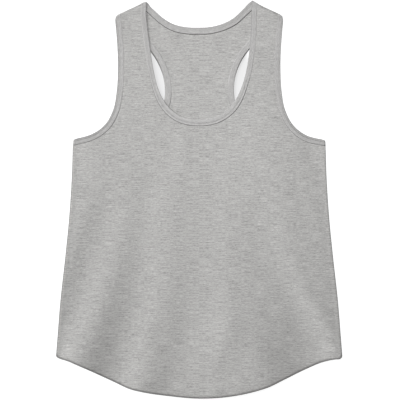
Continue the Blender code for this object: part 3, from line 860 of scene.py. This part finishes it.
# painted shade and painted highlights at the seams, ridges, lips, folded edges and stitch grooves: shares of
# the cloth's own colour, a value, or a pair for left and right, and after it what each change adds to it
neckPaintedShading = {
    "front": {
        "seam": [(0.97, 1.08), ("scoop", (-0.55, -0.66))], "ridge": [1.0, ("scoop", 0.13)],
        "lip": [1.0, ("scoop", 0.17), ("scoop right", -0.12)],
        "edge": [0.84, ("neckTop", (-0.20, -0.26)), ("scoop", 0.10), ("scoop right", -0.06)],
        "stitch": [0.93, ("scoop", -0.15)], "under": [0.5], "reach": [0.4], "every": [1.0]},
    "back": {
        "seam": [0.6], "ridge": [1.04], "lip": [1.0], "edge": [0.93], "stitch": [1.0],
        "under": [0.32], "reach": [3.4], "every": [1.0, ("backRight", -0.06)]},
}
armPaintedShading = {
    "front": {
        "seam": [(1.20, 0.80), ("curve", (-0.54, -0.31))],
        "ridge": [1.08, ("curve", (0.14, 0.09)), ("armTop", (0.0, -0.14)), ("deep", (0.08, 0.04))],
        "lip": [(0.94, 0.97), ("armTop", (0.0, -0.05))], "edge": [(0.78, 0.90), ("curve", -0.14)],
        "stitch": [0.88, ("curve", -0.18), ("deep", -0.09)],
        # the painted shade of the right shoulder carries on over the strip
        "under": [0.5], "reach": [0.8], "every": [1.0, ("corner", -panelPaintedShading["corner"])]},
    "back": {
        "seam": [0.6], "ridge": [1.0], "lip": [1.0], "edge": [(1.0, 0.88), ("backTop", -0.66)],
        "stitch": [1.0], "under": [(1.08, 0.97), ("backCurve", -0.30)], "reach": [1.4], "every": [1.0]},
}


def stripPaintedShading(look, x, drop):
    # each painted shade or highlight with all that the changes add at each place, as columns
    share = {"corner": paintedShadingSpot("corner", x, drop)}
    for change, (way, start, run) in stripChanges.items():
        share[change] = ramp(x if way == "x" else drop, start, run)
    tones = {}
    for word, (value, *changes) in look.items():
        tones[word] = sided(x, value)
        for names, more in changes:
            tones[word] = tones[word] + sided(x, more) * np.prod([share[n] for n in names.split()], axis=0)
        tones[word] = tones[word][:, None]
    return tones


runs = {k: {layer: stations(layer, k) for layer in ("front", "back")} for k in (0, -1, 1)}
neckBinding = makeBand("neckBinding", neckBand, runs[0], True, neckPaintedShading, bindingJersey)
armBindings = {}
for side, name in ((-1, "armholeBindingLeft"), (1, "armholeBindingRight")):
    armBindings[side] = makeBand(name, armBand, runs[side], side < 0, armPaintedShading, bindingJersey)
print("bindings folded on")


# stitches

stitchShape = {
    "pitch": 2.9, "length": 2.1, "thick": 0.17, "sides": 6,
    # rings from end to end: place along the stitch, swell, and dip into the cloth
    "rings": [(-1.0, 0.25, -1.6), (-0.75, 0.8, -0.3), (0.0, 1.0, 0.3), (0.75, 0.8, -0.3), (1.0, 0.25, -1.6)],
    "caps": [(0, 1, 2, 3), (0, 3, 4, 5), (27, 26, 25, 24), (29, 28, 27, 24)],
    "slope": 0.5,           # the direction is taken this far to each side
    "hidden": 0.25,         # height where the stitches lie against other cloth
    "depth": 0.2,           # how far below them their outward direction is measured from
    "hemSink": 0.10,        # how far they sit in the surface of the panels
    "hemEnds": 5,           # points of the hem line left free at each side seam
}


def makeStitches(name, tracks, material):
    # each stitch is a closed capsule of rings that swell to the middle, with its ends dipped
    # into the cloth; a track is a centre line and its outward normals
    pitch, thick, sides, slope = (stitchShape[word] for word in ("pitch", "thick", "sides", "slope"))
    t, swell, dip = np.array(stitchShape["rings"]).T[..., None]
    turn = np.arange(sides) * (2 * math.pi / sides)
    forward = t * stitchShape["length"] / 2
    upward, sideways = dip * thick + swell * thick * np.sin(turn), swell * thick * np.cos(turn)
    every = []
    for line, normal in tracks:
        reach = lengthAlong(line)
        at = np.arange(pitch / 2, reach[-1] - pitch / 2, pitch)
        ahead = unit(sample(at + slope, reach, line) - sample(at - slope, reach, line))
        lift = unit(sample(at, reach, normal))
        centre, beside = sample(at, reach, line), np.cross(ahead, lift)
        ring = (centre[:, None, None] + ahead[:, None, None] * forward[..., None]
                + lift[:, None, None] * upward[..., None] + beside[:, None, None] * sideways[..., None])
        every.append(ring.reshape(-1, 3))
    points = np.vstack(every)
    size = len(t) * sides
    one = np.vstack([gridFaces(len(t), sides, closeColumns=True)[:, ::-1], stitchShape["caps"]])
    faces = (one + np.arange(0, len(points), size)[:, None, None]).reshape(-1, 4)
    return makeMesh(name, points, faces, points[:, :2] * mm, material)


def bandTrack(run, layer, band, height):
    # stitches on the side that lies against other cloth are pulled in
    if height * upOf[layer] < 0:
        height = stitchShape["hidden"] * np.sign(height)
    below = height - stitchShape["depth"] * np.sign(height)
    pair = bandRings(run, layer, [(band["stitch"], below), (band["stitch"], height)], band)
    return pair[:, 1], pair[:, 1] - pair[:, 0]


def bandTracks(run, band):
    # a line of stitches outside and one inside, over front and back, with normals
    tracks = []
    for height in (bandShape["seat"], -bandShape["seat"]):
        halves = [bandTrack(run[layer], layer, band, height) for layer in ("front", "back")]
        track = [joined(front, back, band["closed"]) for front, back in zip(*halves)]
        if band["closed"]:
            track = [np.vstack([part, back[:1], front[:1]]) for part, front, back in zip(track, *halves)]
        tracks.append(track)
    return tracks


def hemTrack(layer):
    # a line beside the hem on the panel's outer face
    ends = stitchShape["hemEnds"]
    flat = hemLine + leftOf(np.gradient(hemLine, axis=0)) * panelMesh["hemStitch"]
    line = place(flat[ends:-ends], layer, layers["wall"] / 2 - stitchShape["hemSink"])
    return line, np.tile((0.0, 0.0, upOf[layer]), (len(line), 1))


neckStitches = makeStitches("neckStitches", bandTracks(runs[0], neckBand), thread)
armStitches = {}
for side, name in ((-1, "armholeStitchesLeft"), (1, "armholeStitchesRight")):
    armStitches[side] = makeStitches(name, bandTracks(runs[side], armBand), thread)
hemStitchesFront = makeStitches("hemStitchesFront", [hemTrack("front")], thread)
hemStitchesBack = makeStitches("hemStitchesBack", [hemTrack("back")], thread)
print("stitches sewn")


# what each piece stands for

for piece, node in ((frontPanel, "front_panel"), (backPanel, "back_panel"), (neckBinding, "neck_binding"),
                    (armBindings[-1], "armhole_binding_left"), (armBindings[1], "armhole_binding_right")):
    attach(piece, "root")
    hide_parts(node)
for piece in (neckStitches, armStitches[-1], armStitches[1], hemStitchesFront, hemStitchesBack):
    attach(piece, "root")


# floor, light and camera

studio = {
    # metres and degrees
    "floor": {"Base Color": (0.25, 0.25, 0.252, 1.0), "Roughness": 0.9, "Specular IOR Level": 0.1,
              "Emission Color": (1.0, 1.0, 1.0, 1.0)},
    "floorGlow": 0.92, "floorHalf": 4.0, "floorDrop": 0.0003,
    "world": 0.13, "backdrop": 0.9,     # as it lights the cloth, and as it is seen
    # painted shade on the floor seen through the openings, where it glows less: middle, half sizes, width of
    # the soft edge, how much less
    "dim": {"x": -0.01, "y": 0.215, "across": 0.098, "along": 0.056, "fade": 0.30, "share": 0.41},
    "key": {"way": (-0.96, 0.25), "rise": 20.0, "distance": 9.0, "size": 4.5, "power": 1297.0},
    "overhead": {"way": (0.046, 0.247), "rise": 76.2, "distance": 1.056, "size": 0.5, "power": 7.33},
    "camera": (0.00145, -0.0009, 1.634), "lens": 85.0, "sensor": 36.0,
}


def floorMaterial():
    # a matt light table; its glow is a little weaker under the straps, inside a soft ellipse, as painted
    # shade on the floor seen through the openings
    material, tree, shader = newMaterial("pale floor", studio["floor"])
    dim, full = studio["dim"], studio["floorGlow"]
    spot = addNode(tree, "Mapping", {
        "Vector": addNode(tree, "TexCoord").outputs["Object"],
        "Location": (-dim["x"] / dim["across"], -dim["y"] / dim["along"], 0.0),
        "Scale": (1 / dim["across"], 1 / dim["along"], 0.0)})
    away = addNode(tree, "VectorMath", {0: spot.outputs[0]}, operation="LENGTH")
    glow = addNode(tree, "MapRange", {
        "Value": away.outputs["Value"], "From Min": 1.0, "From Max": 1.0 + dim["fade"],
        "To Min": full * (1 - dim["share"]), "To Max": full}, interpolation_type="SMOOTHSTEP")
    fill(tree, shader, {"Emission Strength": glow.outputs[0]})
    return material


floorMesh = bpy.data.meshes.new("floor")
half, low = studio["floorHalf"], -studio["floorDrop"]
floorMesh.from_pydata([(-half, -half, low), (half, -half, low), (half, half, low), (-half, half, low)],
                      [], [(0, 1, 2, 3)])
floorMesh.materials.append(floorMaterial())
addObject("floor", floorMesh)

world = bpy.data.worlds.new("soft light")
world.use_nodes = True
tree = world.node_tree
sky = tree.nodes["Background"]      # dim where it lights the cloth, and pale where it is seen
fill(tree, sky, {"Color": (1.0, 1.0, 1.0, 1.0), "Strength": studio["world"]})
pale = addNode(tree, "Background", {"Strength": studio["backdrop"]})
seen = addNode(tree, "LightPath").outputs["Is Camera Ray"]
blend = addNode(tree, "MixShader", {0: seen, 1: sky.outputs[0], 2: pale.outputs[0]})
fill(tree, tree.nodes["World Output"], {"Surface": blend.outputs[0]})
bpy.context.scene.world = world

for name in ("key", "overhead"):
    facts = studio[name]
    lamp = bpy.data.lights.new(name, "AREA")
    lamp.shape = "SQUARE"
    lamp.size, lamp.energy = facts["size"], facts["power"]
    light = addObject(name, lamp)
    rise = math.radians(facts["rise"])
    way = Vector((*facts["way"], 0)).normalized() * math.cos(rise) + Vector((0, 0, math.sin(rise)))
    light.location = way * facts["distance"]
    light.rotation_euler = (-way).to_track_quat("-Z", "Y").to_euler()
    light.visible_camera = False

camera = addObject("camera", bpy.data.cameras.new("camera"))
camera.data.lens, camera.data.sensor_width = studio["lens"], studio["sensor"]
camera.location = studio["camera"]
bpy.context.scene.camera = camera
bpy.context.scene.view_settings.view_transform = "Standard"
print("studio set")
